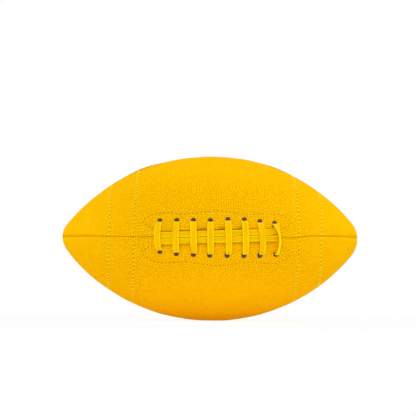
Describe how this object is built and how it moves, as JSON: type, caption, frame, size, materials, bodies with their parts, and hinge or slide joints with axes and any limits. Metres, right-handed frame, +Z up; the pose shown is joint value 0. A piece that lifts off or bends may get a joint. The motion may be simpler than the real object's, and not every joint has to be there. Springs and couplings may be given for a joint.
{
  "type": "american football",
  "caption": "Pointed laced ball of sewn pebbled panels with stitched stripe bands, a flat lace over a tongue, linings, and a rubber bladder with a needle valve.",
  "frame": {"origin": "on the surface that the ball rests on, below the middle of its axis", "axes": "+X along the ball's long axis, +Z up, the lacing faces -Y"},
  "size_m": [0.2798, 0.1604, 0.1552],
  "materials": {
    "cover": "pebbled",
    "stripe": "pebbled",
    "lace": "satin",
    "thread": "waxed thread",
    "facing_thread": "sewing thread",
    "lining": "canvas",
    "backing": "coated cloth",
    "bladder": "matt",
    "valve": "matt"
  },
  "bodies": {
    "root": {"front_upper_panel": "cover", "front_lower_panel": "cover", "rear_upper_panel": "cover", "rear_lower_panel": "cover", "left_stripe_front_upper": "stripe", "left_stripe_front_lower": "stripe", "right_stripe_front_upper": "stripe", "right_stripe_front_lower": "stripe", "lace": "lace", "left_inner_stitching_front_upper": "thread", "left_inner_stitching_front_lower": "thread", "left_outer_stitching_front_upper": "thread", "left_outer_stitching_front_lower": "thread", "right_inner_stitching_front_upper": "thread", "right_inner_stitching_front_lower": "thread", "right_outer_stitching_front_upper": "thread", "right_outer_stitching_front_lower": "thread", "front_left_seam_thread": "thread", "front_right_seam_thread": "thread", "top_seam_thread": "thread", "rear_seam_thread": "thread", "bottom_seam_thread": "thread", "front_upper_facing_stitching": "facing_thread", "front_lower_facing_stitching": "facing_thread", "front_upper_lining": "lining", "front_lower_lining": "lining", "rear_upper_lining": "lining", "rear_lower_lining": "lining", "front_upper_lace_facing": "backing", "front_lower_lace_facing": "backing", "tongue": "backing", "bladder": "bladder", "valve_body": "valve", "valve_core": "valve"}
  },
  "joints": []
}
